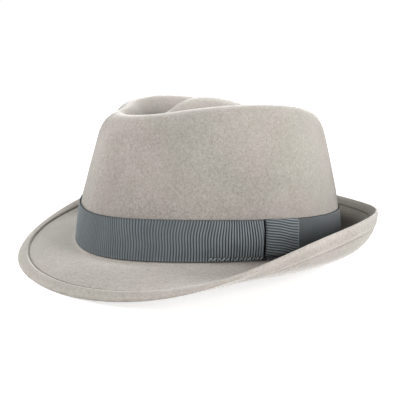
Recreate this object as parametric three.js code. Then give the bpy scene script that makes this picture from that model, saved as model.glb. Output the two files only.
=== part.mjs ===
import * as THREE from "three";

// Men's felt trilby: one felt body, a ribbon band and a flat bow of two pieces.
// Millimetres, +Z up, front towards -Y, the wearer's left towards +X.

// Felt body.
const FELT_THICKNESS = 2.2;
const WELT_LIFT = 1.1;
const WELT_EDGE_LIFT = 0.4;
const WELT_WIDTH = 6.2;
const WELT_STEP = 0.6;
const HEAD_HALF_LENGTH = 101.5;
const HEAD_HALF_WIDTH = 83.5;
const BREAK_RADIUS = 4;
const CURL_POWER = 1.1;
const CREST_HEIGHT = 108;
const ROUNDING = 0.55;

// The pinch: a shallow dent on each side of the front of the crown.
const PINCH_DEPTH = 9;
const PINCH_PLACE = 35;
const PINCH_SPREAD = 16;
const PINCH_START = 0.3;
const PINCH_CREST = 0.62;

// The ridge of the island in the crown's dented top runs along the middle.
const RIDGE_MIDDLE = -4;
const RIDGE_HALF_LENGTH = 40;

// Ribbon pieces.
const RIBBON_WIDTH = 26;
const RIBBON_THICKNESS = 0.9;
const RIBBON_FOOT = 1.6;
const KNOT_THICKNESS = 2;
const KNOT_BULGE = 0.8;
const PIECE_GAP = 0.3;
const BOW_FOOT = 3.2;
const WING_START = 60;
const KNOT_START = 81;
const KNOT_END = 95;

// Round the hat, both sides alike. Heights and drops are shares of CREST_HEIGHT,
// widths are shares of HEAD_HALF_LENGTH, slopes are in degrees, and bow is the power by which
// the wall's lean grows with height, so that the wall bows out.
const ROUND = [
  {
    at: 0, breakUp: 0.083, brim: 0.347, inner: -4, outer: -23.4,
    crest: 0.91, lean: 0.134, bow: 1.3,
    shoulder: 0.163, drop: 0.148, groove: 0.17, place: 0.5,
  },
  {
    at: 45, breakUp: 0.118, brim: 0.38, inner: -7.7, outer: -3.7,
    crest: 0.956, lean: 0.103, bow: 1.35,
    shoulder: 0.174, drop: 0.13, groove: 0.17, place: 0.42,
  },
  {
    at: 90, breakUp: 0.101, brim: 0.352, inner: -17.2, outer: 101,
    crest: 1, lean: 0.089, bow: 1.4,
    shoulder: 0.112, drop: 0.158, groove: 0.1, place: 0.36,
  },
  {
    at: 135, breakUp: 0.046, brim: 0.328, inner: 14.5, outer: 97.5,
    crest: 0.905, lean: 0.124, bow: 1.55,
    shoulder: 0.118, drop: 0.197, groove: 0.06, place: 0.36,
  },
  {
    at: 180, breakUp: 0.0125, brim: 0.351, inner: 17.4, outer: 62.4,
    crest: 0.815, lean: 0.103, bow: 1.5,
    shoulder: 0.184, drop: 0.208, groove: 0.04, place: 0.36,
  },
];

// Along the island's ridge, from its front end to its back end.
const RIDGE = [
  { share: 0, height: 0.94 },
  { share: 0.25, height: 1.005 },
  { share: 0.5, height: 1.015 },
  { share: 0.75, height: 0.975 },
  { share: 1, height: 0.88 },
];

// Mesh density.
const COLUMNS = 72;
const EDGE_ROWS = 3;
const WELT_ROWS = 2;
const BRIM_ROWS = 9;
const BREAK_ROWS = 3;
const WALL_ROWS = 6;
const SHOULDER_ROWS = 4;
const TOP_ROWS = 9;
const BRIM_STEPS = 120;

const radians = THREE.MathUtils.degToRad;
const smooth = (x) => THREE.MathUtils.smoothstep(x, 0, 1);

// A smooth curve round the hat through one column of the table, the same on both sides.
function roundCurve(column, scale) {
  const last = ROUND.length - 1;
  const weights = ROUND.map((_, order) => {
    const sum = ROUND.reduce((total, row, i) => {
      const end = i === 0 || i === last ? 0.5 : 1;
      return total + end * row[column] * Math.cos((Math.PI * order * i) / last);
    }, 0);
    const half = order === 0 || order === last ? 0.5 : 1;
    return (half * 2 * sum * scale) / last;
  });
  return (angle) => weights.reduce((total, w, order) => total + w * Math.cos(order * angle), 0);
}

const breakUp = roundCurve("breakUp", CREST_HEIGHT);
const brimWidth = roundCurve("brim", HEAD_HALF_LENGTH);
const innerSlope = roundCurve("inner", 1);
const outerSlope = roundCurve("outer", 1);
const crestUp = roundCurve("crest", CREST_HEIGHT);
const lean = roundCurve("lean", HEAD_HALF_LENGTH);
const leanPower = roundCurve("bow", 1);
const shoulderInset = roundCurve("shoulder", HEAD_HALF_LENGTH);
const shoulderDrop = roundCurve("drop", CREST_HEIGHT);
const grooveDepth = roundCurve("groove", CREST_HEIGHT);
const groovePlace = roundCurve("place", 1);

// Height of the island's ridge at a share of its length, a smooth curve through the table.
const ridgeCurve = new THREE.SplineCurve(
  RIDGE.map((row) => new THREE.Vector2(row.share, row.height * CREST_HEIGHT)),
);
const ridgeUp = (share) => ridgeCurve.getPoint(share).y;

// A point on the head oval, moved inwards by an inset.
function oval(angle, inset) {
  return new THREE.Vector2(
    (HEAD_HALF_WIDTH - inset) * Math.sin(angle),
    -(HEAD_HALF_LENGTH - inset) * Math.cos(angle),
  );
}

// The outward direction of the head oval, seen from above.
function outward(angle) {
  return new THREE.Vector2(
    Math.sin(angle) / HEAD_HALF_WIDTH,
    -Math.cos(angle) / HEAD_HALF_LENGTH,
  ).normalize();
}

// The brim's section at an angle: how far out and up its upper face is, at a share of its width.
function brimSection(angle) {
  const first = radians(innerSlope(angle));
  const last = radians(outerSlope(angle));
  const width = brimWidth(angle);
  let out = BREAK_RADIUS * (1 + Math.sin(first));
  let up = BREAK_RADIUS * (1 - Math.cos(first));
  const steps = [{ out, up }];
  for (let i = 0; i < BRIM_STEPS; i++) {
    const slope = first + (last - first) * ((i + 0.5) / BRIM_STEPS) ** CURL_POWER;
    out += (Math.cos(slope) * width) / BRIM_STEPS;
    up += (Math.sin(slope) * width) / BRIM_STEPS;
    steps.push({ out, up });
  }
  return (share) => {
    const place = Math.min(share, 1) * BRIM_STEPS;
    const i = Math.min(Math.floor(place), BRIM_STEPS - 1);
    const f = place - i;
    return {
      out: steps[i].out + (steps[i + 1].out - steps[i].out) * f,
      up: steps[i].up + (steps[i + 1].up - steps[i].up) * f,
    };
  };
}

// How strongly the pinch draws the wall in at an angle.
function pinchAt(angle) {
  const degrees = THREE.MathUtils.radToDeg(angle);
  return [-1, 1].reduce((total, side) => {
    const away = (degrees * side - PINCH_PLACE) / PINCH_SPREAD;
    return total + Math.exp(-away * away);
  }, 0);
}

function pinched(flat, angle, strength) {
  const pull = (PINCH_DEPTH * strength * pinchAt(angle)) / flat.length();
  return flat.multiplyScalar(1 - pull);
}

// The outer face of the felt down one column, from the brim's edge to the island's ridge.
// Each point carries how much the folded edge lifts the face there.
function feltColumn(angle) {
  const points = [];
  const add = (flat, height, lift = 0) => {
    points.push({ at: new THREE.Vector3(flat.x, flat.y, height), lift });
  };
  const base = breakUp(angle);
  const side = outward(angle);
  const section = brimSection(angle);
  const width = brimWidth(angle);
  const onBrim = (share) => {
    const { out, up } = section(share);
    const flat = oval(angle, 0).addScaledVector(side, out);
    const fromEdge = (1 - share) * width;
    const folded = fromEdge > 0 ? WELT_LIFT : WELT_EDGE_LIFT;
    add(flat, base + up, fromEdge < WELT_WIDTH ? folded : 0);
  };
  const weltShare = 1 - WELT_WIDTH / width;
  const stepShare = 1 - (WELT_WIDTH + WELT_STEP) / width;
  for (let i = 0; i < WELT_ROWS; i++) {
    onBrim(1 - ((1 - weltShare) * i) / WELT_ROWS);
  }
  onBrim(weltShare + 1e-6);
  for (let i = 0; i <= BRIM_ROWS; i++) {
    onBrim(stepShare * (1 - i / BRIM_ROWS));
  }
  const turn = Math.PI / 2 + radians(innerSlope(angle));
  for (let i = BREAK_ROWS - 1; i >= 0; i--) {
    const bend = (turn * i) / BREAK_ROWS;
    const out = BREAK_RADIUS * (1 - Math.cos(bend));
    const flat = oval(angle, 0).addScaledVector(side, out);
    add(flat, base + BREAK_RADIUS * (1 - Math.sin(bend)));
  }
  const foot = base + BREAK_RADIUS;
  const neck = crestUp(angle) - shoulderDrop(angle);
  for (let i = 1; i <= WALL_ROWS; i++) {
    const share = i / WALL_ROWS;
    const rise = smooth((share - PINCH_START) / (1 - PINCH_START));
    const flat = oval(angle, lean(angle) * share ** leanPower(angle));
    add(pinched(flat, angle, rise), foot + (neck - foot) * share);
  }
  // The shoulder leaves the wall along its lean and ends level at the crest.
  const wallSlope = (lean(angle) * leanPower(angle)) / (neck - foot);
  const drop = shoulderDrop(angle);
  const shoulder = new THREE.CubicBezierCurve(
    new THREE.Vector2(0, 0),
    new THREE.Vector2(ROUNDING * drop * wallSlope, ROUNDING * drop),
    new THREE.Vector2((1 - ROUNDING) * shoulderInset(angle), drop),
    new THREE.Vector2(shoulderInset(angle), drop),
  );
  for (let i = 1; i <= SHOULDER_ROWS; i++) {
    const turn = shoulder.getPoint(i / SHOULDER_ROWS);
    const strength = 1 - ((1 - PINCH_CREST) * i) / SHOULDER_ROWS;
    const flat = pinched(oval(angle, lean(angle) + turn.x), angle, strength);
    add(flat, neck + turn.y);
  }
  const crest = points[points.length - 1].at;
  const along = (1 - Math.cos(angle)) / 2;
  const end = new THREE.Vector2(0, RIDGE_MIDDLE + RIDGE_HALF_LENGTH * (2 * along - 1));
  const place = groovePlace(angle);
  for (let i = 1; i <= TOP_ROWS; i++) {
    const share = i / TOP_ROWS;
    const flat = new THREE.Vector2(crest.x, crest.y).lerp(end, share);
    const rise = smooth(share);
    const well = smooth(share < place ? share / place : (1 - share) / (1 - place));
    const height = crest.z * (1 - rise) + ridgeUp(along) * rise - grooveDepth(angle) * well;
    add(flat, height);
  }
  return points;
}

const columnAngle = (j) => (2 * Math.PI * j) / COLUMNS;

// Both halves use the same columns, so the hat is exactly alike on both sides.
function feltGrid() {
  const half = [];
  for (let j = 0; j <= COLUMNS / 2; j++) {
    half.push(feltColumn(columnAngle(j)));
  }
  const grid = [];
  for (let j = 0; j < COLUMNS; j++) {
    const mirrored = j > COLUMNS / 2;
    const source = half[mirrored ? COLUMNS - j : j];
    grid.push(
      source.map(({ at, lift }) => ({
        at: new THREE.Vector3(mirrored ? -at.x : at.x, at.y, at.z),
        lift,
      })),
    );
  }
  return grid;
}

// The direction out of the felt at a point of the grid.
function feltNormal(grid, j, k) {
  const rows = grid[j].length;
  const next = grid[(j + 1) % COLUMNS][k].at;
  const before = grid[(j + COLUMNS - 1) % COLUMNS][k].at;
  const higher = grid[j][Math.min(k + 1, rows - 1)].at;
  const lower = grid[j][Math.max(k - 1, 0)].at;
  const across = new THREE.Vector3().subVectors(next, before);
  const up = new THREE.Vector3().subVectors(higher, lower);
  return new THREE.Vector3().crossVectors(across, up).normalize();
}

// Points and faces gathered into one closed geometry.
class Shell {
  constructor() {
    this.points = [];
    this.faces = [];
  }
  add(point) {
    this.points.push(point);
    return this.points.length - 1;
  }
  quad(a, b, c, d) {
    this.faces.push(a, b, c, a, c, d);
  }
  geometry() {
    const flat = this.points.flatMap((p) => [p.x, p.y, p.z]);
    const made = new THREE.BufferGeometry();
    made.setAttribute("position", new THREE.Float32BufferAttribute(flat, 3));
    made.setIndex(this.faces);
    made.computeVertexNormals();
    return made;
  }
}

// The felt is pressed flat where it would sink below the ground.
const onGround = (point) => new THREE.Vector3(point.x, point.y, Math.max(point.z, 0));

function feltBody(grid) {
  const shell = new Shell();
  const rows = grid[0].length;
  const ridge = rows - 1;
  const mirror = (j) => (j > COLUMNS / 2 ? COLUMNS - j : j);
  // Each column runs over the outer face, and then over the rounded edge to the inner face.
  const loops = [];
  for (let j = 0; j < COLUMNS; j++) {
    const outer = [];
    const inner = [];
    for (let k = 0; k < rows; k++) {
      const { at, lift } = grid[j][k];
      if (k === ridge && j !== mirror(j)) {
        outer.push(loops[mirror(j)].outer[k]);
        inner.push(loops[mirror(j)].inner[k]);
        continue;
      }
      const normal = k === ridge ? new THREE.Vector3(0, 0, 1) : feltNormal(grid, j, k);
      outer.push(shell.add(onGround(at.clone().addScaledVector(normal, lift))));
      inner.push(shell.add(onGround(at.clone().addScaledVector(normal, -FELT_THICKNESS))));
    }
    const top = grid[j][0].at;
    const normal = feltNormal(grid, j, 0);
    const along = new THREE.Vector3().subVectors(top, grid[j][1].at).normalize();
    const radius = (FELT_THICKNESS + WELT_EDGE_LIFT) / 2;
    const middle = top.clone().addScaledVector(normal, WELT_EDGE_LIFT - radius);
    const edge = [];
    for (let i = 1; i <= EDGE_ROWS; i++) {
      const turn = (Math.PI * i) / (EDGE_ROWS + 1);
      const point = middle
        .clone()
        .addScaledVector(normal, radius * Math.cos(turn))
        .addScaledVector(along, radius * Math.sin(turn));
      edge.push(shell.add(onGround(point)));
    }
    loops.push({ outer, inner, edge });
  }
  for (let j = 0; j < COLUMNS; j++) {
    const near = loops[j];
    const far = loops[(j + 1) % COLUMNS];
    for (let k = 0; k < ridge; k++) {
      shell.quad(near.outer[k], far.outer[k], far.outer[k + 1], near.outer[k + 1]);
      shell.quad(near.inner[k], near.inner[k + 1], far.inner[k + 1], far.inner[k]);
    }
    const rim = (loop) => [loop.outer[0], ...loop.edge, loop.inner[0]];
    const a = rim(near);
    const b = rim(far);
    for (let i = 0; i + 1 < a.length; i++) {
      shell.quad(a[i], a[i + 1], b[i + 1], b[i]);
    }
  }
  return shell.geometry();
}

// A point standing off the crown wall at a height above the brim's break.
function offWall(grid, j, height, off) {
  const column = grid[j];
  const target = breakUp(columnAngle(j)) + height;
  const first = WELT_ROWS + 1 + BRIM_ROWS;
  let k = first;
  while (column[k + 1].at.z < target) k++;
  const span = column[k + 1].at.z - column[k].at.z;
  const share = (target - column[k].at.z) / span;
  const normal = feltNormal(grid, j, k).lerp(feltNormal(grid, j, k + 1), share).normalize();
  return column[k].at.clone().lerp(column[k + 1].at, share).addScaledVector(normal, off);
}

const RIBBON_LEVELS = [0, 0.08, 0.3, 0.65, 1];

// The band: a closed ring of ribbon round the foot of the crown.
function bandRing(grid) {
  const shell = new Shell();
  const rings = [];
  for (let j = 0; j < COLUMNS; j++) {
    const inside = RIBBON_LEVELS.map((level) =>
      shell.add(offWall(grid, j, RIBBON_FOOT + RIBBON_WIDTH * level, PIECE_GAP)),
    );
    const outside = RIBBON_LEVELS.map((level) =>
      shell.add(
        offWall(grid, j, RIBBON_FOOT + RIBBON_WIDTH * level, PIECE_GAP + RIBBON_THICKNESS),
      ),
    );
    rings.push([...outside, ...inside.reverse()]);
  }
  for (let j = 0; j < COLUMNS; j++) {
    const near = rings[j];
    const far = rings[(j + 1) % COLUMNS];
    near.forEach((_, i) => {
      const n = (i + 1) % near.length;
      shell.quad(near[i], far[i], far[n], near[n]);
    });
  }
  return shell.geometry();
}

// A bow piece: a short length of ribbon laid over the band between two angles.
function ribbonPatch(grid, from, to, foot, top, inner, thickness, bulge) {
  const shell = new Shell();
  const steps = Math.max(4, Math.round(((to - from) * COLUMNS) / 360) * 2);
  const at = (degrees, height, off) => {
    const place = (degrees / 360) * COLUMNS;
    const j = Math.floor(place);
    const a = offWall(grid, j, height, off);
    const b = offWall(grid, j + 1, height, off);
    return a.lerp(b, place - j);
  };
  const rings = [];
  for (let i = 0; i <= steps; i++) {
    const degrees = from + ((to - from) * i) / steps;
    const swell = bulge * Math.sin((Math.PI * i) / steps) ** 0.5;
    const levels = RIBBON_LEVELS.map((level) => foot + (top - foot) * level);
    const outside = levels.map((h) => shell.add(at(degrees, h, inner + thickness + swell)));
    const inside = levels.map((h) => shell.add(at(degrees, h, inner)));
    rings.push([...outside, ...inside.reverse()]);
  }
  for (let i = 0; i < steps; i++) {
    rings[i].forEach((_, k) => {
      const n = (k + 1) % rings[i].length;
      shell.quad(rings[i][k], rings[i + 1][k], rings[i + 1][n], rings[i][n]);
    });
  }
  const closeEnd = (ring, turned) => {
    const last = ring.length - 1;
    for (let k = 0; k < ring.length / 2 - 1; k++) {
      const corners = [ring[k], ring[k + 1], ring[last - k - 1], ring[last - k]];
      shell.quad(...(turned ? corners.reverse() : corners));
    }
  };
  closeEnd(rings[0], false);
  closeEnd(rings[steps], true);
  return shell.geometry();
}

const FELT = new THREE.MeshStandardMaterial({ color: "#b3aca4", roughness: 0.95, metalness: 0 });
const RIBBON = new THREE.MeshStandardMaterial({ color: "#5c666a", roughness: 0.7, metalness: 0 });

const grid = feltGrid();
const bandOuter = PIECE_GAP + RIBBON_THICKNESS + PIECE_GAP;
const ribbonTop = RIBBON_FOOT + RIBBON_WIDTH;
const pieces = [
  ["felt_body", feltBody(grid), FELT],
  ["hat_band", bandRing(grid), RIBBON],
  [
    "bow_wing",
    ribbonPatch(grid, WING_START, KNOT_START - PIECE_GAP, BOW_FOOT + RIBBON_FOOT, ribbonTop,
      bandOuter, RIBBON_THICKNESS, 0),
    RIBBON,
  ],
  [
    "bow_knot",
    ribbonPatch(grid, KNOT_START, KNOT_END, BOW_FOOT + RIBBON_FOOT, ribbonTop + PIECE_GAP,
      bandOuter, KNOT_THICKNESS, KNOT_BULGE),
    RIBBON,
  ],
];

const trilby = new THREE.Group();
trilby.name = "trilby";
for (const [name, geometry, material] of pieces) {
  const mesh = new THREE.Mesh(geometry, material);
  mesh.name = name;
  trilby.add(mesh);
}

// The origin is under the middle of the whole hat, at the ground.
const box = new THREE.Box3().setFromObject(trilby);
const middle = box.getCenter(new THREE.Vector3());
for (const mesh of trilby.children) {
  mesh.geometry.translate(-middle.x, -middle.y, -box.min.z);
}

export default trilby;
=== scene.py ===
"""Looks of a felt trilby with a ribbed ribbon band and a flat bow.

Metres, +Z up, front towards -Y, the wearer's left towards +X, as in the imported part.
Angles round the hat start at the front and grow towards the wearer's left.
"""

import math

import bpy
import numpy as np
from mathutils import Matrix, Vector


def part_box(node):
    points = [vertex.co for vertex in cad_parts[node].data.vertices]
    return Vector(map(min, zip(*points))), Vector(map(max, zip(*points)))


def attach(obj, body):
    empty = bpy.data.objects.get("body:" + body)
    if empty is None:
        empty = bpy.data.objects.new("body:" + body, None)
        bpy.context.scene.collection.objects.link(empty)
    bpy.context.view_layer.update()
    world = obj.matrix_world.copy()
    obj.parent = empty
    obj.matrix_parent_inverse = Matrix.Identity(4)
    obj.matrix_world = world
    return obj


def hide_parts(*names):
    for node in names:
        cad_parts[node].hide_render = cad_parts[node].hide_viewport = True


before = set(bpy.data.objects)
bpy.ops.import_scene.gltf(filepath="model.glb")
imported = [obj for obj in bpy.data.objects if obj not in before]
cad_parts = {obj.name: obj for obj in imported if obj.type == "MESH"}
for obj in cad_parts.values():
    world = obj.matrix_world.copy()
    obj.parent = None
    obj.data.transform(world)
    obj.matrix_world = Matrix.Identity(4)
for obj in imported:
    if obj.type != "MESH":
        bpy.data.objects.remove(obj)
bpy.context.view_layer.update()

# Felt body.
FELT_THICKNESS = 0.0022
HEAD_HALF_LENGTH = 0.1015
HEAD_HALF_WIDTH = 0.0835
BREAK_RADIUS = 0.004
CURL_POWER = 1.1
CREST_HEIGHT = 0.108
ROUNDING = 0.55
PINCH_DEPTH = 0.009
PINCH_PLACE = 35
PINCH_SPREAD = 16
PINCH_START = 0.3
PINCH_CREST = 0.62
RIDGE_MIDDLE = -0.004
RIDGE_HALF_LENGTH = 0.040

# Ribbon pieces. The bow's places round the hat are in degrees from the front.
RIBBON_WIDTH = 0.026
RIBBON_THICKNESS = 0.0009
RIBBON_FOOT = 0.0016
BAND_TOP = RIBBON_FOOT + RIBBON_WIDTH
PIECE_GAP = 0.0003
BOW_FOOT = RIBBON_FOOT + 0.0032
BOW_SLIT = 0.75
WING_START = 60
KNOT_START = 81
KNOT_END = 95
WING_END = KNOT_START - BOW_SLIT
KNOT_THICKNESS = 0.0020
KNOT_BULGE = 0.0008

# Round the hat at the front, front quarter, side, rear quarter and rear, both sides alike.
# Heights and drops are shares of CREST_HEIGHT, widths are shares of HEAD_HALF_LENGTH,
# slopes are in degrees.
ROUND = {
    "break_up": (0.083, 0.118, 0.101, 0.046, 0.0125),
    "brim": (0.347, 0.38, 0.352, 0.328, 0.351),
    "inner": (-4, -7.7, -17.2, 14.5, 17.4),
    "outer": (-23.4, -3.7, 101, 97.5, 62.4),
    "crest": (0.91, 0.956, 1, 0.905, 0.815),
    "lean": (0.134, 0.103, 0.089, 0.124, 0.103),
    "bow_out": (1.3, 1.35, 1.4, 1.55, 1.5),
    "shoulder": (0.163, 0.174, 0.112, 0.118, 0.184),
    "drop": (0.148, 0.13, 0.158, 0.197, 0.208),
    "groove": (0.17, 0.17, 0.1, 0.06, 0.04),
    "place": (0.5, 0.42, 0.36, 0.36, 0.36),
}
# Height of the island's ridge from its front end to its back end, shares of CREST_HEIGHT.
RIDGE = (0.94, 1.005, 1.015, 0.975, 0.88)

# The folded edge of the brim: how far from the edge, how much the upper face is raised
# there, and how much the lower face stands out, in millimetres, and how light the felt is
# painted: down to -1 for painted shade in the crease at the step, up to 1 for a painted
# highlight on the rolled edge that is partly also rubbed wear.
WELT_PROFILE = [
    {"from_edge": 0, "raised": 0.4, "below": 0, "wear_and_painted_light": 0.25},
    {"from_edge": 0.4, "raised": 0.62, "below": 0, "wear_and_painted_light": 0.22},
    {"from_edge": 1, "raised": 0.82, "below": 0.02, "wear_and_painted_light": 0.16},
    {"from_edge": 1.8, "raised": 1, "below": 0.04, "wear_and_painted_light": 0.08},
    {"from_edge": 2.7, "raised": 1.13, "below": 0.06, "wear_and_painted_light": 0.02},
    {"from_edge": 3.6, "raised": 1.21, "below": 0.1, "wear_and_painted_light": 0},
    {"from_edge": 4.4, "raised": 1.24, "below": 0.16, "wear_and_painted_light": 0},
    {"from_edge": 5, "raised": 1.2, "below": 0.22, "wear_and_painted_light": 0.05},
    {"from_edge": 5.4, "raised": 1.1, "below": 0.34, "wear_and_painted_light": 0.15},
    {"from_edge": 5.75, "raised": 0.92, "below": 0.42, "wear_and_painted_light": 0.3},
    {"from_edge": 6, "raised": 0.62, "below": 0.44, "wear_and_painted_light": 0.3},
    {"from_edge": 6.15, "raised": 0.2, "below": 0.4, "wear_and_painted_light": 0},
    {"from_edge": 6.3, "raised": -0.2, "below": 0.22, "wear_and_painted_light": -0.4},
    {"from_edge": 6.5, "raised": -0.45, "below": 0.1, "wear_and_painted_light": -0.7},
    {"from_edge": 6.7, "raised": -0.42, "below": -0.25, "wear_and_painted_light": -0.7},
    {"from_edge": 6.95, "raised": -0.22, "below": -0.55, "wear_and_painted_light": -0.5},
    {"from_edge": 7.2, "raised": -0.09, "below": -0.6, "wear_and_painted_light": -0.3},
    {"from_edge": 7.45, "raised": -0.02, "below": -0.38, "wear_and_painted_light": -0.12},
    {"from_edge": 7.8, "raised": 0, "below": -0.08, "wear_and_painted_light": 0},
    {"from_edge": 8.3, "raised": 0, "below": 0, "wear_and_painted_light": 0},
]

# Mesh density.
COLUMNS = 320
EDGE_ROWS = 7
BRIM_ROWS = 22
BREAK_ROWS = 7
WALL_ROWS = 24
SHOULDER_ROWS = 12
TOP_ROWS = 30
BRIM_STEPS = 240
FIRST_WALL_ROW = len(WELT_PROFILE) + BRIM_ROWS + BREAK_ROWS - 1
BAND_LEVELS = 22
BAND_COLUMNS_PER_RIB = 8
BAND_HIDDEN_STEP = 9
WING_LEVELS = 36
WING_COLUMNS_PER_RIB = 12
KNOT_COLUMNS = 60
KNOT_ROWS_PER_RIB = 10
WAY_STEPS = 2001

# Below, a pair is a soft step: where it starts, and over how much it rises. A step that
# rises downwards has a negative second number.

# Slow waves of the felt: none under the band, and none at the brim's inner side.
WAVE_HEIGHT = 0.00035
WAVES_UP_WALL = (0.034, 0.016)
WAVES_OUT_BRIM = (0, 0.6)
# The top is eased over the ridge's two ends.
EASE_REACH = 0.017
EASE_TIMES = 60
EASE_PULL = 0.7
# Painted highlights along the crest and the top, partly also rubbed wear, and on the island's
# ridge; painted shade low on the wall, in the fold at the rear and in the groove. The inner
# face takes these marks more strongly.
CREST_WEAR_AND_PAINTED_HIGHLIGHT = 0.45
CREST_HIGHLIGHT_ROWS = 3.5
TOP_WEAR_AND_PAINTED_HIGHLIGHT = 0.28
UNDERSIDE_WEAR_AND_PAINTED_LIGHT = 1.4
LOW_WALL_PAINTED_SHADE = 0.34
LOW_WALL_SHARE = 0.62
REAR_FOLD_PAINTED_SHADE = 1.0
FOLD_BEHIND = (95, 40)
FOLD_ROWS_IN = 8
FOLD_ROWS_OUT = 3
GROOVE_PAINTED_SHADE = 0.6
RIDGE_PAINTED_HIGHLIGHT = 0.4
RIDGE_HIGHLIGHT_SIDE = (10, 50)

# Ribs of the ribbon.
RIB_PITCH = 0.00172
RIB_POWER = 2.2
RIB_RELIEF = 0.00040
RIB_SWAYS = [
    {"size": 0.22, "along": 61, "up": 5, "start": 0},
    {"size": 0.30, "along": 0, "up": 3.1, "start": 1},
    {"size": 0.16, "along": 23, "up": 9, "start": 0},
]
FRONT_LEAN = 2.6
FRONT_LEAN_AT = 22
FRONT_LEAN_SPREAD = 13
FRONT_LEAN_TURN = 6
YARN_MIDDLE = 0.5
HIDDEN_TONE = 0.4
# Along the ribbon's bound edges the yarn is darker, a painted shade, and the edges are notched
# between the ribs.
TOP_BOUND = (0.972, 0.02)
TOP_BOUND_PAINTED_SHADE = 0.75
FOOT_BOUND = (0.02, -0.015)
FOOT_BOUND_PAINTED_SHADE = 0.6
EDGE_NOTCH = 0.0005
NOTCH_ZONE = 0.04
FOOT_NOTCH_SHARE = 0.5
EDGE_ROUND_SHARE = 0.6
# How strongly the painted shade between the band's ribs shows round the hat, set to how the
# light brings the ribs out, and the stretch pressed flat past the bow.
RIBS_SHOW_FRONT = 0.2
RIBS_SHOW_QUARTER = 0.4
RIBS_QUARTER = (10, 14)
RIBS_SHOW_SIDE = 0.4
RIBS_SIDE = (38, 24)
PRESSED_FROM = (KNOT_START, 4)
PRESSED_TO = (140, 30)
PRESSED_RELIEF = 0.8
PRESSED_SHOW = 0.9
# Past the bow the band is also darkened, a painted shade.
PRESSED_PAINTED_SHADE = 0.62
# The slit beside the bow is darkened, a painted shade.
SLIT_REACH = 0.6
SLIT_FADE = 0.4
# The bow's flat layer.
WING_RELIEF = 0.00060
WING_SWAY = 0.0030
WING_SWAY_ALONG = (0, 0.8)
WING_SWAY_UP = (0.35, 0.65)
WING_FADE = (0.86, 0.1)
WING_FADE_SHARE = 0.55
WING_THIN = 0.12
WING_FULL = (0, 0.45)
WING_EDGE = 0.0006
WING_EDGE_FALL = 0.0005
WING_BELLY = 0.0005
WING_BELLY_ALONG = (0, 0.6)
# The bow's knot.
KNOT_PITCH = 0.00165
KNOT_RELIEF = 0.00055
KNOT_SLOPE = math.radians(9)
KNOT_SAG = 0.0016
KNOT_WAVE = 0.0002
KNOT_ROLL = 0.0030
KNOT_ROLL_FALL = 0.0017
KNOT_SELVEDGE = 0.0007
KNOT_SELVEDGE_FALL = 0.0006
KNOT_LIP = 0.00025
KNOT_LIP_AT = 0.0008
KNOT_LIP_SPREAD = 0.0005
# A painted highlight along the lip, and painted shade over the whole knot and at its foot.
KNOT_LIP_PAINTED_HIGHLIGHT = 0.8
KNOT_PAINTED_SHADE_TONE = 0.74
KNOT_FOOT = (0.07, -0.07)
KNOT_FOOT_PAINTED_SHADE = 0.8
# The bow's stitches.
STITCH_STEP = 0.0026
STITCH_HEIGHT = 0.0026
STITCH_BELOW = 0.0024
STITCH_SLANT = 0.55
STITCH_SLANT_VARIES = 0.2
STITCH_OUT = 0.0002
STITCH_RISE = 0.0008
STITCH_SIDES = 8
STITCH_RINGS = 7
THREAD_RADIUS = 0.00032

# Felt colours between which the wool's grain runs, each in two casts.
FELT_DARK = (0.207, 0.194, 0.170, 1)
FELT_DARK_PINK = (0.220, 0.196, 0.178, 1)
FELT_LIGHT = (0.352, 0.334, 0.298, 1)
FELT_LIGHT_PINK = (0.371, 0.336, 0.310, 1)
RIBBON_DARK = (0.008, 0.010, 0.011, 1)
RIBBON_LIGHT = (0.170, 0.198, 0.214, 1)
THREAD_DARK = (0.19, 0.205, 0.21, 1)
THREAD_LIGHT = (0.32, 0.335, 0.34, 1)
# The wool's grain, from blotches down to fibres, and how strong each is and how deep.
FELT_GRAIN = [
    {"scale": 38, "detail": 3, "rough": 0.55, "bent": 0.6, "weight": 0.14},
    {"scale": 190, "detail": 4, "rough": 0.6, "bent": 1.0, "weight": 0.06},
    {"scale": 760, "detail": 3, "rough": 0.6, "bent": 0.8, "weight": 0.42},
    {"scale": 1300, "detail": 4, "rough": 0.65, "bent": 2.0, "weight": 0.38},
]
FELT_BUMPS = [
    {"grain": 3, "strength": 0.4, "deep": 0.0004},
    {"grain": 2, "strength": 0.4, "deep": 0.0006},
    {"grain": 1, "strength": 0.3, "deep": 0.0009},
]

ROOM_LIGHT = 0.02
ROOM_SEEN = 1.02
FLOOR_GLOW = 0.5
FLOOR_SEEN = 0.68
FLOOR_SEEN_FAR = 1.0
FLOOR_NEAR = 0.25
FLOOR_FAR = 1.2
FLOOR_HALF_SIZE = 8.0
FLOOR_DROP = 1e-4

VIEW_TURN = 33.03
VIEW_RISE = 11.66
VIEW_ROLL = 1.74
VIEW_DISTANCE = 0.4246
TARGET_HEIGHT = 0.040
LENS = 51.41
SENSOR_WIDTH = 36
SHIFT_X = -0.0363
SHIFT_Y = -0.0201
CLIP_START = 0.01

# Soft boxes: where they stand, seen from the hat, how large and how strong.
LIGHTS = [
    {"name": "front_box", "turn": 93, "rise": 50, "distance": 1.4, "size": 0.9, "power": 21.5},
    {"name": "front_low_box", "turn": 93, "rise": 12, "distance": 1.4, "size": 0.9, "power": 3},
    {"name": "side_box", "turn": -27, "rise": 16, "distance": 1.4, "size": 0.9, "power": 28},
    {"name": "far_side_box", "turn": 153, "rise": 14, "distance": 1.4, "size": 0.9, "power": 12},
    {"name": "far_box", "turn": 213, "rise": 10, "distance": 1.4, "size": 0.9, "power": 8},
    {"name": "rear_box", "turn": -87, "rise": 10, "distance": 1.4, "size": 0.9, "power": 11},
]

# The column that mirrors each column of the felt's grid.
MIRROR = (COLUMNS - np.arange(COLUMNS)) % COLUMNS


def smooth(x):
    """A soft step from 0 to 1."""
    x = np.clip(x, 0, 1)
    return x * x * (3 - 2 * x)


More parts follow.
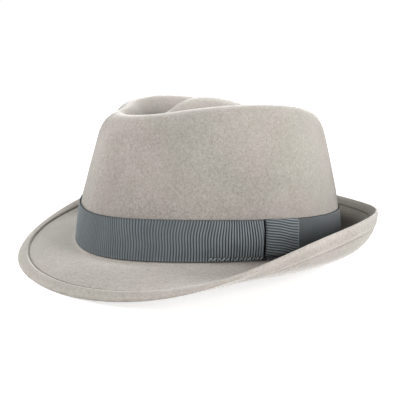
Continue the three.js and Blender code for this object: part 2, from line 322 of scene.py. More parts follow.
def ramp(x, step):
    """A soft step from 0 to 1 that starts at one number and rises over another."""
    start, over = step
    return smooth((x - start) / over)


def from_front(angle):
    """Degrees from the front, positive on the wearer's left."""
    return (np.degrees(angle) + 180) % 360 - 180


def round_curve(column, scale=1.0):
    """A smooth curve round the hat through one row of the table, the same on both sides."""
    values = np.array(ROUND[column], float) * scale
    last = len(values) - 1
    stations = np.arange(last + 1)
    ends = np.where((stations == 0) | (stations == last), 0.5, 1.0)
    waves = np.cos(np.pi * np.outer(stations, stations) / last)
    weights = 2 * (waves * ends * values).sum(1) * ends / last
    return lambda angle: sum(w * np.cos(k * angle) for k, w in enumerate(weights))


break_up = round_curve("break_up", CREST_HEIGHT)
brim_width = round_curve("brim", HEAD_HALF_LENGTH)
inner_slope = round_curve("inner", math.radians(1))
outer_slope = round_curve("outer", math.radians(1))
crest_up = round_curve("crest", CREST_HEIGHT)
lean = round_curve("lean", HEAD_HALF_LENGTH)
lean_power = round_curve("bow_out")
shoulder_inset = round_curve("shoulder", HEAD_HALF_LENGTH)
shoulder_drop = round_curve("drop", CREST_HEIGHT)
groove_depth = round_curve("groove", CREST_HEIGHT)
groove_place = round_curve("place")


def ridge_up(share):
    """Height of the island's ridge at a share of its length, a smooth curve through RIDGE."""
    heights = np.array(RIDGE) * CREST_HEIGHT
    last = len(heights) - 1
    place = np.clip(share, 0, 1) * last
    at = np.minimum(np.floor(place).astype(int), last - 1)
    part = place - at
    before = heights[np.maximum(at - 1, 0)]
    start, end = heights[at], heights[at + 1]
    after = heights[np.minimum(at + 2, last)]
    leaving, arriving = (end - before) / 2, (after - start) / 2
    return (
        (2 * start - 2 * end + leaving + arriving) * part**3
        + (-3 * start + 3 * end - 2 * leaving - arriving) * part**2
        + leaving * part
        + start
    )


def oval(angle, inset):
    """A point of the head oval, moved inwards by an inset."""
    x = (HEAD_HALF_WIDTH - inset) * np.sin(angle)
    y = -(HEAD_HALF_LENGTH - inset) * np.cos(angle)
    return np.stack(np.broadcast_arrays(x, y), -1)


def outward(angle):
    """The outward direction of the head oval, seen from above."""
    side = np.stack([np.sin(angle) / HEAD_HALF_WIDTH, -np.cos(angle) / HEAD_HALF_LENGTH], -1)
    return side / np.linalg.norm(side, axis=-1, keepdims=True)


def raised(flat, height):
    """Points of a plan, lifted to a height."""
    return np.concatenate([flat, np.broadcast_to(height, flat.shape[:-1])[..., None]], -1)


def unit(vectors):
    return vectors / np.maximum(np.linalg.norm(vectors, axis=-1, keepdims=True), 1e-12)


def brim_face(angle, from_edge):
    """The brim's upper face at distances from its edge."""
    first, last = inner_slope(angle), outer_slope(angle)
    width = brim_width(angle)
    steps = (np.arange(BRIM_STEPS) + 0.5)[:, None] / BRIM_STEPS
    slope = first + (last - first) * steps**CURL_POWER
    start_out = BREAK_RADIUS * (1 + np.sin(first))
    start_up = BREAK_RADIUS * (1 - np.cos(first))
    out = np.vstack([start_out, np.cos(slope) * width / BRIM_STEPS]).cumsum(0)
    up = np.vstack([start_up, np.sin(slope) * width / BRIM_STEPS]).cumsum(0)
    place = np.clip(1 - from_edge / width, 0, 1) * BRIM_STEPS
    low = np.minimum(np.floor(place).astype(int), BRIM_STEPS - 1)
    part = place - low
    column = np.arange(len(angle))
    out = out[low, column] * (1 - part) + out[low + 1, column] * part
    up = up[low, column] * (1 - part) + up[low + 1, column] * part
    return raised(oval(angle, 0) + outward(angle) * out[..., None], break_up(angle) + up)


def pinched(flat, angle, strength):
    """Draws the front of the crown in on both sides."""
    degrees = from_front(angle)
    pinch = sum(np.exp(-(((degrees * side - PINCH_PLACE) / PINCH_SPREAD) ** 2)) for side in (-1, 1))
    pull = PINCH_DEPTH * strength * pinch / np.linalg.norm(flat, axis=-1)
    return flat * (1 - pull)[..., None]


def wall_height(angle):
    """Height of the crown's straight wall, from the top of the break to the shoulder."""
    return crest_up(angle) - shoulder_drop(angle) - break_up(angle) - BREAK_RADIUS


def wall_at(angle, height):
    """The crown wall's outer face at a height above the brim's break."""
    bend = np.arcsin(np.clip(1 - height / BREAK_RADIUS, 0, 1))
    out = BREAK_RADIUS * (1 - np.cos(bend))
    share = np.clip(height - BREAK_RADIUS, 0, None) / wall_height(angle)
    flat = oval(angle, lean(angle) * share ** lean_power(angle)) + outward(angle) * out[..., None]
    strength = ramp(share, (PINCH_START, 1 - PINCH_START))
    return raised(pinched(flat, angle, strength), break_up(angle) + height)


def off_wall(angle, height, off):
    """A point standing off the crown wall."""
    angle, height, off = np.broadcast_arrays(angle, height, off)
    step = 2e-4
    turn = step / HEAD_HALF_WIDTH
    across = wall_at(angle + turn, height) - wall_at(angle - turn, height)
    up = wall_at(angle, height + step) - wall_at(angle, height - step)
    return wall_at(angle, height) + unit(np.cross(across, up)) * off[..., None]


def groove_well(share, place):
    """How far down into the groove a place is, on the way from the crest to the ridge."""
    return smooth(np.where(share < place, share / place, (1 - share) / (1 - place)))


def felt_grid():
    """The felt's outer face, rows from the brim's edge to the island's ridge, before the fold."""
    angle = np.arange(COLUMNS) * 2 * np.pi / COLUMNS
    zone = np.array([row["from_edge"] for row in WELT_PROFILE]) / 1000
    width = brim_width(angle)
    share = np.arange(1, BRIM_ROWS + 1)[:, None] / BRIM_ROWS
    from_edge = np.vstack([zone[:, None] + 0 * width, zone[-1] + (width - zone[-1]) * share])
    parts = [brim_face(angle, from_edge)]
    turn = np.pi / 2 + inner_slope(angle)
    bend = turn * np.arange(BREAK_ROWS - 1, -1, -1)[:, None] / BREAK_ROWS
    out = BREAK_RADIUS * (1 - np.cos(bend))
    height = break_up(angle) + BREAK_RADIUS * (1 - np.sin(bend))
    parts.append(raised(oval(angle, 0) + outward(angle) * out[..., None], height))
    share = np.arange(1, WALL_ROWS + 1)[:, None] / WALL_ROWS
    every = np.broadcast_to(angle, (WALL_ROWS, COLUMNS))
    parts.append(wall_at(every, BREAK_RADIUS + share * wall_height(angle)))
    # The shoulder leaves the wall along its lean and ends level at the crest.
    drop = shoulder_drop(angle)
    slope = lean(angle) * lean_power(angle) / wall_height(angle)
    t = np.arange(1, SHOULDER_ROWS + 1)[:, None] / SHOULDER_ROWS
    late, end = 3 * t * t * (1 - t), t**3
    early = 3 * t * (1 - t) ** 2
    inset = lean(angle) + early * ROUNDING * drop * slope
    inset = inset + (late * (1 - ROUNDING) + end) * shoulder_inset(angle)
    height = crest_up(angle) - drop + (early * ROUNDING + late + end) * drop
    every = np.broadcast_to(angle, inset.shape)
    strength = 1 - (1 - PINCH_CREST) * t
    parts.append(raised(pinched(oval(every, inset), every, strength), height))
    # The top runs from the crest over the groove to the island's ridge.
    crest = parts[-1][-1]
    along = (1 - np.cos(angle)) / 2
    ridge = np.stack([0 * along, RIDGE_MIDDLE + RIDGE_HALF_LENGTH * (2 * along - 1)], -1)
    share = np.arange(1, TOP_ROWS + 1)[:, None] / TOP_ROWS
    flat = crest[:, :2] * (1 - share[..., None]) + ridge * share[..., None]
    rise = smooth(share)
    well = groove_well(share, groove_place(angle))
    height = crest[:, 2] * (1 - rise) + ridge_up(along) * rise - groove_depth(angle) * well
    parts.append(eased(raised(flat, height)))
    return angle, np.concatenate(parts)


def eased(top):
    """The felt of the top, rounded over the two ends of the ridge."""
    ends = [(0, RIDGE_MIDDLE - RIDGE_HALF_LENGTH), (0, RIDGE_MIDDLE + RIDGE_HALF_LENGTH)]
    reach = np.min([np.linalg.norm(top[..., :2] - end, axis=-1) for end in ends], 0)
    pull = EASE_PULL * np.exp(-((reach / EASE_REACH) ** 2))
    height = top[..., 2]
    for _ in range(EASE_TIMES):
        above = np.concatenate([height[1:], height[-2:-1, MIRROR]])
        below = np.concatenate([height[:1], height[:-1]])
        beside = np.roll(height, 1, 1) + np.roll(height, -1, 1)
        height = height + pull * ((above + below + beside) / 4 - height)
    return raised(top[..., :2], height)


def grid_normals(grid):
    """Outward directions over the felt's grid, straight up along the ridge."""
    across = np.roll(grid, -1, 1) - np.roll(grid, 1, 1)
    up = np.gradient(grid, axis=0)
    normals = unit(np.cross(across, up))
    normals[-1] = (0, 0, 1)
    return normals


def unevenness(points):
    """The slow waves that hand blocking leaves in felt, about -1 to 1, by millimetres."""
    x, y, z = (points[..., i] * 1000 for i in range(3))
    waves = np.sin(x / 15 + 0.7 + np.sin(y / 31)) * np.sin(y / 19 - z / 23 + 0.4)
    waves = waves + 0.6 * np.sin(z / 9.5 + x / 21 + 1.9) * np.sin(x / 12 - y / 27)
    return waves / 1.6


def wave_share(grid, angle):
    """How much of the slow waves each place of the felt has."""
    height = grid[FIRST_WALL_ROW:, :, 2] - break_up(angle)
    share = np.empty(grid.shape[:2])
    share[FIRST_WALL_ROW:] = ramp(height, WAVES_UP_WALL)
    share[:FIRST_WALL_ROW] = ramp(np.linspace(1, 0, FIRST_WALL_ROW), WAVES_OUT_BRIM)[:, None]
    return share


def mesh_object(name, points, faces, material, tone=None):
    """An object from points and faces, with a tone at each point for its material."""
    mesh = bpy.data.meshes.new(name)
    mesh.from_pydata(np.asarray(points).tolist(), [], faces)
    if tone is not None:
        mesh.attributes.new("tone", "FLOAT", "POINT").data.foreach_set("value", tone.ravel())
    mesh.validate()
    mesh.shade_smooth()
    mesh.materials.append(material)
    made = bpy.data.objects.new(name, mesh)
    bpy.context.scene.collection.objects.link(made)
    return made


def quads_between(a, b):
    """Faces between two rows of point numbers."""
    return np.stack([a[:-1], a[1:], b[1:], b[:-1]], -1)


def clean(faces):
    """Drops repeated corners, so that no face is thinner than a triangle."""
    kept = []
    for face in faces.tolist():
        corners = [c for i, c in enumerate(face) if c != face[i - 1]]
        if len(corners) > 2:
            kept.append(corners)
    return kept


def felt_tone(angle, rows):
    """The felt's tone, 0.5 where it is plain, lighter for painted highlights and darker for painted
    shade, partly also wear: outer face, edge and inner face.
    """
    row = np.arange(rows)
    crest_row = rows - TOP_ROWS - 1
    # Lighter along the brim's edge, the crest and the top, a painted highlight that is partly also
    # rubbed wear, and darker in the crease at the welt's step, a painted shade.
    wear_and_painted_light = CREST_WEAR_AND_PAINTED_HIGHLIGHT * np.exp(-(((row - crest_row) / CREST_HIGHLIGHT_ROWS) ** 2))
    wear_and_painted_light[crest_row:] = np.maximum(wear_and_painted_light[crest_row:], TOP_WEAR_AND_PAINTED_HIGHLIGHT)
    wear_and_painted_light[: len(WELT_PROFILE)] = [step["wear_and_painted_light"] for step in WELT_PROFILE]
    # Above the band the wall is a little darker, a painted shade, as if light fell from above.
    shaded = (FIRST_WALL_ROW, LOW_WALL_SHARE * (crest_row - FIRST_WALL_ROW))
    wear_and_painted_light[FIRST_WALL_ROW:] -= LOW_WALL_PAINTED_SHADE * (1 - ramp(row, shaded))[FIRST_WALL_ROW:]
    outer = np.repeat(wear_and_painted_light[:, None], COLUMNS, 1)
    # Painted shade: the brim's upper face is darker in the fold at the rear, behind the crown.
    side = np.abs(from_front(angle))
    fold = ramp(row, (len(WELT_PROFILE), FOLD_ROWS_IN))
    fold = fold * (1 - ramp(row, (FIRST_WALL_ROW, FOLD_ROWS_OUT)))
    outer -= REAR_FOLD_PAINTED_SHADE * fold[:, None] * ramp(side, FOLD_BEHIND)
    # Painted shade in the groove, and a painted highlight on the island's ridge.
    share = np.arange(1, TOP_ROWS + 1)[:, None] / TOP_ROWS
    place = groove_place(angle)
    ridge_highlight = ramp(share, (place, 1 - place)) * ramp(side, RIDGE_HIGHLIGHT_SIDE)
    outer[-TOP_ROWS:] += RIDGE_PAINTED_HIGHLIGHT * ridge_highlight - GROOVE_PAINTED_SHADE * groove_well(share, place)
    edge = np.full((EDGE_ROWS, COLUMNS), wear_and_painted_light[0])
    # The inner face takes the same painted highlights and painted shade, more strongly.
    inner = np.repeat(wear_and_painted_light[:, None] * UNDERSIDE_WEAR_AND_PAINTED_LIGHT, COLUMNS, 1)
    return 0.5 + 0.5 * np.concatenate([outer[::-1], edge, inner])


def felt_body(material):
    """The felt as one closed shell: outer face, rounded edge of the brim, inner face."""
    angle, grid = felt_grid()
    normals = grid_normals(grid)
    waves = WAVE_HEIGHT * wave_share(grid, angle) * unevenness(grid)
    grid = grid + normals * waves[..., None]
    rows = len(grid)
    lift, below = np.zeros(rows), np.zeros(rows)
    lift[: len(WELT_PROFILE)] = [row["raised"] / 1000 for row in WELT_PROFILE]
    below[: len(WELT_PROFILE)] = [row["below"] / 1000 for row in WELT_PROFILE]
    outer = grid + normals * lift[:, None, None]
    inner = grid - normals * (FELT_THICKNESS + below)[:, None, None]
    along = unit(grid[0] - grid[1])
    radius = (FELT_THICKNESS + lift[0]) / 2
    middle = grid[0] + normals[0] * (lift[0] - radius)
    turn = (np.pi * np.arange(1, EDGE_ROWS + 1) / (EDGE_ROWS + 1))[:, None, None]
    edge = middle + radius * (normals[0] * np.cos(turn) + along * np.sin(turn))
    points = np.concatenate([outer[::-1], edge, inner])
    # The hat lies on the floor.
    points[..., 2] = np.maximum(points[..., 2], 0)
    numbers = np.arange(len(points) * COLUMNS).reshape(len(points), COLUMNS)
    # The two sides meet along the ridge.
    half = np.arange(COLUMNS) > COLUMNS // 2
    for row in (0, -1):
        numbers[row, half] = numbers[row, MIRROR[half]]
    numbers = np.concatenate([numbers, numbers[:, :1]], 1)
    faces = clean(np.concatenate([quads_between(a, b) for a, b in zip(numbers, numbers[1:])]))
    return mesh_object(
        "felt_shell", points.reshape(-1, 3), faces, material, felt_tone(angle, rows)
    )


def rib(phase):
    """Height of a rounded rib, 0 in the groove and 1 on its back."""
    return 1 - np.abs(2 * (phase % 1) - 1) ** RIB_POWER


def way_round(angle):
    """How far round the band's middle an angle is from the front."""
    fine = np.linspace(0, 2 * np.pi, WAY_STEPS)
    ring = wall_at(fine, np.full_like(fine, RIBBON_FOOT + RIBBON_WIDTH / 2))
    way = np.concatenate([[0], np.linalg.norm(np.diff(ring, axis=0), axis=1).cumsum()])
    return np.interp(angle, fine, way)


def length_between(start, end):
    """Length of the band's middle between two places given in degrees."""
    return way_round(math.radians(end)) - way_round(math.radians(start))


def rib_place(angle, level):
    """The rib's number at a place on the ribbon: the ribs sway a little on their way up."""
    way, length = way_round(angle), way_round(2 * np.pi)
    sway = sum(
        wave["size"] * np.sin(way * wave["along"] + wave["up"] * level + wave["start"])
        for wave in RIB_SWAYS
    )
    # At the front quarters the ribs lean over towards the front.
    side = from_front(angle)
    near = np.exp(-(((np.abs(side) - FRONT_LEAN_AT) / FRONT_LEAN_SPREAD) ** 2))
    sway = sway + FRONT_LEAN * level * np.tanh(side / FRONT_LEAN_TURN) * near
    return way / length * round(length / RIB_PITCH) + sway


def rib_painted_shade_tone(relief, show):
    """The yarn's tone with painted shade in the grooves between the ribs, as strongly as the ribs
    show.
    """
    return YARN_MIDDLE + (relief**3 - YARN_MIDDLE) * show


def edge_painted_shade(level):
    """Painted shade that darkens the ribbon at its two bound edges."""
    top = TOP_BOUND_PAINTED_SHADE * ramp(level, TOP_BOUND)
    return 1 - top - FOOT_BOUND_PAINTED_SHADE * ramp(level, FOOT_BOUND)


def edge_fall(x, width):
    """How far a rounded edge falls back, 1 at the very edge and 0 from a width inwards."""
    near = np.clip(1 - x / width, 0, 1)
    return 1 - np.sqrt(1 - near**2)


def top_notch(relief, level):
    """How deep the top edge is notched between the ribs."""
    return EDGE_NOTCH * (1 - relief) * (np.clip(level - 1 + NOTCH_ZONE, 0, 1) / NOTCH_ZONE)


def ribbon_levels(count):
    """Rows up a ribbon, close together at its two edges."""
    middle = np.linspace(0.02, 0.98, count)
    return np.concatenate([[0, 0.004, 0.01], middle, [0.99, 0.996, 1]])[None, :]


def strip(name, outside, inside, tone, material, closed):
    """A ribbon body from its outer and inner faces, columns by rows, with closed edges."""
    loop = np.concatenate([outside, inside[:, ::-1]], 1)
    tone = np.clip(np.concatenate([tone, np.full(inside.shape[:2], HIDDEN_TONE)], 1), 0, 1)
    columns, points = loop.shape[:2]
    numbers = np.arange(columns * points).reshape(columns, points)
    ring = np.concatenate([numbers, numbers[:, :1]], 1)
    faces = [quads_between(a, b)[:, ::-1] for a, b in zip(ring, ring[1:])]
    if closed:
        faces.append(quads_between(ring[-1], ring[0])[:, ::-1])
    else:
        rows = points // 2
        for column, flip in ((0, False), (columns - 1, True)):
            out = numbers[column, :rows]
            back = numbers[column, : rows - 1 : -1]
            cap = np.stack([out[:-1], out[1:], back[1:], back[:-1]], -1)
            faces.append(cap if flip else cap[:, ::-1])
    return mesh_object(name, loop.reshape(-1, 3), np.concatenate(faces).tolist(), material, tone)


def hat_band(material):
    """The ribbon round the crown, with its ribs, bound edges and the slit beside the bow, and
    painted shade between the ribs, along the edges, in the slit and past the bow.
    """
    columns = round(way_round(2 * np.pi) / RIB_PITCH) * BAND_COLUMNS_PER_RIB
    angle = np.arange(columns)[:, None] * 2 * np.pi / columns
    degrees = from_front(angle)
    level = ribbon_levels(BAND_LEVELS)
    relief = rib(rib_place(angle, level))
    foot_notch = (1 - relief) * (np.clip(NOTCH_ZONE - level, 0, 1) / NOTCH_ZONE)
    notch = top_notch(relief, level) - EDGE_NOTCH * FOOT_NOTCH_SHARE * foot_notch
    height = RIBBON_FOOT + RIBBON_WIDTH * level - notch
    span = RIBBON_WIDTH * np.minimum(level, 1 - level)
    round_edge = RIBBON_THICKNESS * EDGE_ROUND_SHARE
    # The ribs are pressed flat past the bow and stand up most beside it.
    pressed = ramp(degrees, PRESSED_FROM) * (1 - ramp(degrees, PRESSED_TO))
    lowered = edge_fall(span, round_edge) * round_edge
    lowered = lowered + RIB_RELIEF * (1 - relief) * (1 - PRESSED_RELIEF * pressed)
    off = PIECE_GAP + RIBBON_THICKNESS - lowered
    side = np.abs(degrees)
    show = RIBS_SHOW_FRONT + RIBS_SHOW_QUARTER * ramp(side, RIBS_QUARTER)
    show = (show + RIBS_SHOW_SIDE * ramp(side, RIBS_SIDE)) * (1 - PRESSED_SHOW * pressed)
    # The tone is darkened as painted shade in the slit beside the bow, past the bow, between the
    # ribs and along the bound edges.
    slit = ramp(degrees, (WING_END - SLIT_REACH, SLIT_FADE))
    slit = slit * (1 - ramp(degrees, (KNOT_START + SLIT_REACH, SLIT_FADE)))
    tone = rib_painted_shade_tone(relief, show) * (1 - PRESSED_PAINTED_SHADE * pressed)
    tone = tone * edge_painted_shade(level) * (1 - slit)
    outside = off_wall(angle, height, off)
    # The hidden face lies flat on the felt and needs few rows.
    inside = off_wall(angle, height, np.full_like(off, PIECE_GAP))[:, ::BAND_HIDDEN_STEP]
    return strip("ribbon_band", outside, inside, tone, material, True)


def bow_wing(material):
    """The bow's flat layer of ribbon, from its tacked end to the slit beside the knot."""
    length = length_between(WING_START, WING_END)
    columns = round(length / RIB_PITCH) * WING_COLUMNS_PER_RIB
    u = np.linspace(0, 1, columns + 1)[:, None]
    angle = np.radians(WING_START + (WING_END - WING_START) * u)
    level = ribbon_levels(WING_LEVELS)
    height = BOW_FOOT + (BAND_TOP - BOW_FOOT) * level
    # The ribs run on from the band, lean over in the upper half, and fade beside the knot.
    leaning = WING_SWAY * ramp(u, WING_SWAY_ALONG) * ramp(level, WING_SWAY_UP)
    phase = rib_place(angle, (height - RIBBON_FOOT) / RIBBON_WIDTH) + leaning / RIB_PITCH
    strength = 1 - WING_FADE_SHARE * ramp(u, WING_FADE)
    relief = rib(phase)
    height = height - top_notch(relief, level)
    span = (BAND_TOP - BOW_FOOT) * np.minimum(level, 1 - level)
    fall = np.maximum(edge_fall(span, WING_EDGE), edge_fall(length * (1 - u), WING_EDGE))
    # It is thinned out towards its tacked end, so that it lies flush on the band there.
    full = WING_THIN + (1 - WING_THIN) * ramp(u, WING_FULL)
    inner = PIECE_GAP + RIBBON_THICKNESS + PIECE_GAP * full
    belly = WING_BELLY * np.sin(np.pi * level) * ramp(u, WING_BELLY_ALONG)
    lowered = fall * WING_EDGE_FALL + WING_RELIEF * strength * (1 - relief)
    off = inner + (RIBBON_THICKNESS - lowered) * full + belly
    outside = off_wall(angle, height, off)
    inside = off_wall(angle, height, inner + 0 * off)
    # Painted shade between the ribs and along the bound edges.
    tone = rib_painted_shade_tone(relief, strength) * edge_painted_shade(level)
    return strip("bow_loop", outside, inside, tone, material, False)


def bow_knot(material):
    """The short piece of ribbon that is wrapped over the band, its ribs lying across."""
    top = BAND_TOP + PIECE_GAP
    length = length_between(KNOT_START, KNOT_END)
    rows = round((top - BOW_FOOT) / KNOT_PITCH) * KNOT_ROWS_PER_RIB
    u = np.linspace(0, 1, KNOT_COLUMNS + 1)[:, None]
    level = np.linspace(0, 1, rows + 1)[None, :]
    angle = np.radians(KNOT_START + (KNOT_END - KNOT_START) * u)
    height = BOW_FOOT + (top - BOW_FOOT) * level
    sag = length * u * math.tan(KNOT_SLOPE) + KNOT_SAG * u**2 * (1 - level)
    sag = sag + KNOT_WAVE * np.sin(9 * u + 2 * level)
    relief = rib((height - BOW_FOOT + sag) / KNOT_PITCH)
    span = (top - BOW_FOOT) * np.minimum(level, 1 - level)
    side = length * np.minimum(u, 1 - u)
    # The knot turns in over the band's edges, and its two sides are the ribbon's own edges.
    roll = edge_fall(span, KNOT_ROLL) * KNOT_ROLL_FALL
    selvedge = edge_fall(side, KNOT_SELVEDGE) * KNOT_SELVEDGE_FALL
    lip = np.exp(-((((1 - u) * length - KNOT_LIP_AT) / KNOT_LIP_SPREAD) ** 2))
    inner = PIECE_GAP + RIBBON_THICKNESS + PIECE_GAP
    swell = KNOT_BULGE * np.sin(np.pi * u).clip(0) ** 0.5
    off = inner + KNOT_THICKNESS + swell - roll - selvedge + KNOT_LIP * lip
    off = off - KNOT_RELIEF * (1 - relief)
    outside = off_wall(angle, height, off)
    inside = off_wall(angle, height, np.full_like(off, inner))
    # Painted shade between the ribs, over the whole knot and at its foot, and a painted highlight
    # along the lip.
    tone = relief**2 + (1 - relief**2) * KNOT_LIP_PAINTED_HIGHLIGHT * lip
    tone = KNOT_PAINTED_SHADE_TONE * tone * (1 - KNOT_FOOT_PAINTED_SHADE * ramp(level, KNOT_FOOT))
    return strip("bow_centre", outside, inside, tone, material, False)


def thread_tube(line, normal, first):
    """Points and faces of one short thread along a line, thin at its two ends."""
    across = np.cross(unit(np.gradient(line, axis=0)), normal)
    t = np.linspace(-1, 1, STITCH_RINGS)
    thick = THREAD_RADIUS * np.sqrt(np.maximum(1 - t**4, 0.02))
    turn = 2 * np.pi * np.arange(STITCH_SIDES)[:, None] / STITCH_SIDES
    way = across[:, None] * np.cos(turn) + normal[:, None] * np.sin(turn)
    points = line[:, None] + way * thick[:, None, None]
    numbers = first + np.arange(STITCH_RINGS * STITCH_SIDES).reshape(STITCH_RINGS, STITCH_SIDES)
    ring = np.concatenate([numbers, numbers[:, :1]], 1)
    faces = np.concatenate([quads_between(a, b) for a, b in zip(ring, ring[1:])]).tolist()
    return points.reshape(-1, 3), faces + [numbers[0, ::-1].tolist(), numbers[-1].tolist()]


def bow_stitches(material):
    """The short slanting stitches that tack the loop's lower edge to the band."""
    length = length_between(WING_START, WING_END)
    count = round(length / STITCH_STEP)
    points, faces = [], []
    t = np.arange(STITCH_RINGS) / (STITCH_RINGS - 1)
    height = BOW_FOOT - STITCH_BELOW + STITCH_HEIGHT * t
    lift = PIECE_GAP + RIBBON_THICKNESS + STITCH_OUT + STITCH_RISE * smooth(t)
    for i in range(count):
        slant = math.tan(STITCH_SLANT + STITCH_SLANT_VARIES * math.sin(2.3 * i))
        along = (i + 0.5) / count + (t - 0.5) * STITCH_HEIGHT * slant / length
        angle = np.radians(WING_START + (WING_END - WING_START) * along)
        line = off_wall(angle, height, lift)
        normal = unit(off_wall(angle, height, lift + 1e-3) - line)
        stitch, sides = thread_tube(line, normal, len(points) * STITCH_RINGS * STITCH_SIDES)
        points.append(stitch)
        faces.extend(sides)
    points = np.concatenate(points)
    return mesh_object("bow_stitches", points, faces, material, np.ones(len(points)))


class Nodes:
    """A small helper to write a material's node tree."""

    def __init__(self, name):
        self.material = bpy.data.materials.new(name)
        self.material.use_nodes = True
        self.tree = self.material.node_tree
        self.shader = self.tree.nodes["Principled BSDF"]
        self.place = self.add("ShaderNodeTexCoord").outputs["Object"]

    def add(self, kind, **settings):
        node = self.tree.nodes.new(kind)
        for key, value in settings.items():
            setattr(node, key, value)
        return node

    def link(self, value, socket):
        if hasattr(value, "is_output"):
            self.tree.links.new(value, socket)
        else:
            socket.default_value = value

    def fill(self, node, **values):
        """Sets or links a node's inputs, by names with _ for a space."""
        for key, value in values.items():
            self.link(value, node.inputs[key.replace("_", " ")])
        return node

    def tone(self):
        """The tone written at the mesh's points."""
        return self.add("ShaderNodeAttribute", attribute_name="tone").outputs["Fac"]

    def noise(self, scale, detail, roughness, distortion):
        node = self.fill(self.add("ShaderNodeTexNoise"), Vector=self.place, Scale=float(scale))
        self.fill(node, Detail=float(detail), Roughness=roughness, Distortion=distortion)
        return node.outputs["Fac"]

    def math(self, operation, a, b):
        node = self.add("ShaderNodeMath", operation=operation)
        self.link(a, node.inputs[0])
        self.link(b, node.inputs[1])
        return node.outputs[0]

    def weighed(self, parts):
        """The sum of values, each times its weight."""
        total = None
        for value, weight in parts:
            part = self.math("MULTIPLY", value, weight)
            total = part if total is None else self.math("ADD", total, part)
        return total

    def stretch(self, value, low, high, to_low, to_high):
        node = self.fill(self.add("ShaderNodeMapRange"), Value=value, From_Min=low)
        self.fill(node, From_Max=high, To_Min=to_low, To_Max=to_high)
        return node.outputs["Result"]

    def mix(self, factor, a, b):
        node = self.add("ShaderNodeMix", data_type="RGBA", clamp_factor=False)
        self.link(factor, node.inputs["Factor"])
        self.link(a, node.inputs[6])
        self.link(b, node.inputs[7])
        return node.outputs[2]

    def bump(self, height, strength, distance, normal=None):
        node = self.fill(self.add("ShaderNodeBump"), Height=height)
        self.fill(node, Strength=strength, Distance=distance)
        if normal is not None:
            self.link(normal, node.inputs["Normal"])
        return node.outputs["Normal"]


def felt_material():
    """Matted wool: soft blotches, a fine nap of fibres, and a bloom where it turns away."""
    n = Nodes("wool_felt")
    grain = [n.noise(g["scale"], g["detail"], g["rough"], g["bent"]) for g in FELT_GRAIN]
    tone = n.weighed([(noise, g["weight"]) for noise, g in zip(grain, FELT_GRAIN)])
    tone = n.stretch(tone, 0.38, 0.62, 0.0, 1.0)
    # The tone at the points adds the painted highlights and painted shade, partly also wear.
    tone = n.math("ADD", tone, n.stretch(n.tone(), 0.0, 1.0, -1.0, 1.0))
    cast = n.stretch(n.noise(17, 2, 0.5, 0.8), 0.38, 0.62, 0.0, 1.0)
    dark = n.mix(cast, FELT_DARK, FELT_DARK_PINK)
    light = n.mix(cast, FELT_LIGHT, FELT_LIGHT_PINK)
    normal = None
    for bump in FELT_BUMPS:
        normal = n.bump(grain[bump["grain"]], bump["strength"], bump["deep"], normal)
    n.fill(
        n.shader,
        Base_Color=n.mix(tone, dark, light),
        Roughness=n.stretch(grain[-1], 0.3, 0.7, 0.88, 1.0),
        Normal=normal,
        Specular_IOR_Level=0.15,
        Sheen_Weight=1.0,
        Sheen_Roughness=0.32,
        Sheen_Tint=(1.0, 0.98, 0.95, 1.0),
    )
    return n.material


def ribbon_material(name, dark, light):
    """Ribbed ribbon: light yarn on the ribs and painted shade between them, carried by the tone at
    the points, with uneven fine threads.
    """
    n = Nodes(name)
    shade = n.noise(90, 3, 0.5, 0.4)
    thread = n.noise(1500, 4, 0.7, 0.0)
    uneven = n.stretch(n.weighed([(shade, 0.4), (thread, 0.6)]), 0.33, 0.67, 0.72, 1.12)
    n.fill(
        n.shader,
        Base_Color=n.mix(n.math("MULTIPLY", n.tone(), uneven), dark, light),
        Roughness=n.stretch(thread, 0.3, 0.7, 0.5, 0.72),
        Normal=n.bump(thread, 0.35, 0.00025),
        Specular_IOR_Level=0.35,
        Sheen_Weight=0.15,
        Sheen_Roughness=0.4,
    )
    return n.material


def floor_material():
    """Pale floor that glows softly, a little more far away from the hat."""
    n = Nodes("pale_floor")
    reach = n.add("ShaderNodeVectorMath", operation="LENGTH")
    n.link(n.place, reach.inputs[0])
    seen = n.stretch(reach.outputs["Value"], FLOOR_NEAR, FLOOR_FAR, FLOOR_SEEN, FLOOR_SEEN_FAR)
    glow = n.add("ShaderNodeMix", data_type="FLOAT")
    n.link(n.add("ShaderNodeLightPath").outputs["Is Camera Ray"], glow.inputs[0])
    n.link(FLOOR_GLOW, glow.inputs[2])
    n.link(seen, glow.inputs[3])
    n.fill(
        n.shader,
        Base_Color=(0.5, 0.5, 0.5, 1),
        Roughness=1.0,
        Specular_IOR_Level=0.0,
        Emission_Color=(1.0, 0.995, 0.99, 1),
        Emission_Strength=glow.outputs[0],
    )
    return n.material


felt = felt_material()
ribbon = ribbon_material("ribbed_ribbon", RIBBON_DARK, RIBBON_LIGHT)
thread = ribbon_material("tack_thread", THREAD_DARK, THREAD_LIGHT)

pieces = [
    (felt_body(felt), "felt_body", "felt"),
    (hat_band(ribbon), "hat_band", "ribbon"),
    (bow_wing(ribbon), "bow_wing", "ribbon"),
    (bow_knot(ribbon), "bow_knot", "ribbon"),
    (bow_stitches(thread), None, "ribbon"),
]

# The origin is under the middle of the whole hat: the felt's box is centred on it.
forward = [point.co.y for point in pieces[0][0].data.vertices]
cad_felt_low, cad_felt_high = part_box("felt_body")
forward_shift = (cad_felt_low.y + cad_felt_high.y - min(forward) - max(forward)) / 2
for piece, node, slot in pieces:
    piece.data.transform(Matrix.Translation((0, forward_shift, 0)))
    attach(piece, "root")
    if node:
        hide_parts(node)

# Floor: plain and pale.
floor_corners = [
    (FLOOR_HALF_SIZE * x, FLOOR_HALF_SIZE * y, -FLOOR_DROP)
    for x, y in ((-1, -1), (1, -1), (1, 1), (-1, 1))
]
floor = mesh_object("floor", floor_corners, [[0, 1, 2, 3]], floor_material())

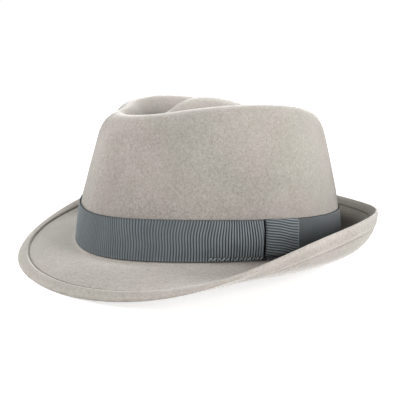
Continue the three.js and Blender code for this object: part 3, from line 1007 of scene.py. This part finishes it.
# White surroundings, bright behind the hat and dim as a light.
world = bpy.data.worlds.new("white_room")
bpy.context.scene.world = world
world.use_nodes = True
world_nodes = world.node_tree.nodes
world_links = world.node_tree.links
backdrop = world_nodes["Background"]
backdrop.inputs["Color"].default_value = (1, 1, 1, 1)
seen = world_nodes.new("ShaderNodeLightPath").outputs["Is Camera Ray"]
strength = world_nodes.new("ShaderNodeMapRange")
strength.inputs["To Min"].default_value = ROOM_LIGHT
strength.inputs["To Max"].default_value = ROOM_SEEN
world_links.new(seen, strength.inputs["Value"])
world_links.new(strength.outputs["Result"], backdrop.inputs["Strength"])


def direction(turn, rise):
    """A direction by its turn from the wearer's left towards the front, and its rise."""
    turn, rise = math.radians(turn), math.radians(rise)
    return Vector(
        (math.cos(rise) * math.cos(turn), -math.cos(rise) * math.sin(turn), math.sin(rise))
    )


def placed(name, data, towards, distance, roll=0.0):
    """An object that looks at the hat from a direction and a distance."""
    right = Vector((0, 0, 1)).cross(towards).normalized()
    up = towards.cross(right)
    roll = math.radians(roll)
    right, up = (
        right * math.cos(roll) + up * math.sin(roll),
        up * math.cos(roll) - right * math.sin(roll),
    )
    made = bpy.data.objects.new(name, data)
    turned = Matrix((right, up, towards)).transposed().to_4x4()
    made.matrix_world = Matrix.Translation(target + towards * distance) @ turned
    bpy.context.scene.collection.objects.link(made)
    return made


target = Vector((0, forward_shift, TARGET_HEIGHT))
camera_data = bpy.data.cameras.new("camera")
camera_data.lens = LENS
camera_data.sensor_width = SENSOR_WIDTH
camera_data.shift_x = SHIFT_X
camera_data.shift_y = SHIFT_Y
camera_data.clip_start = CLIP_START
bpy.context.scene.camera = placed(
    "camera", camera_data, direction(VIEW_TURN, VIEW_RISE), VIEW_DISTANCE, VIEW_ROLL
)

for light in LIGHTS:
    data = bpy.data.lights.new(light["name"], "AREA")
    data.shape = "SQUARE"
    data.size = light["size"]
    data.energy = light["power"]
    placed(light["name"], data, direction(light["turn"], light["rise"]), light["distance"])

bpy.context.scene.view_settings.view_transform = "Standard"
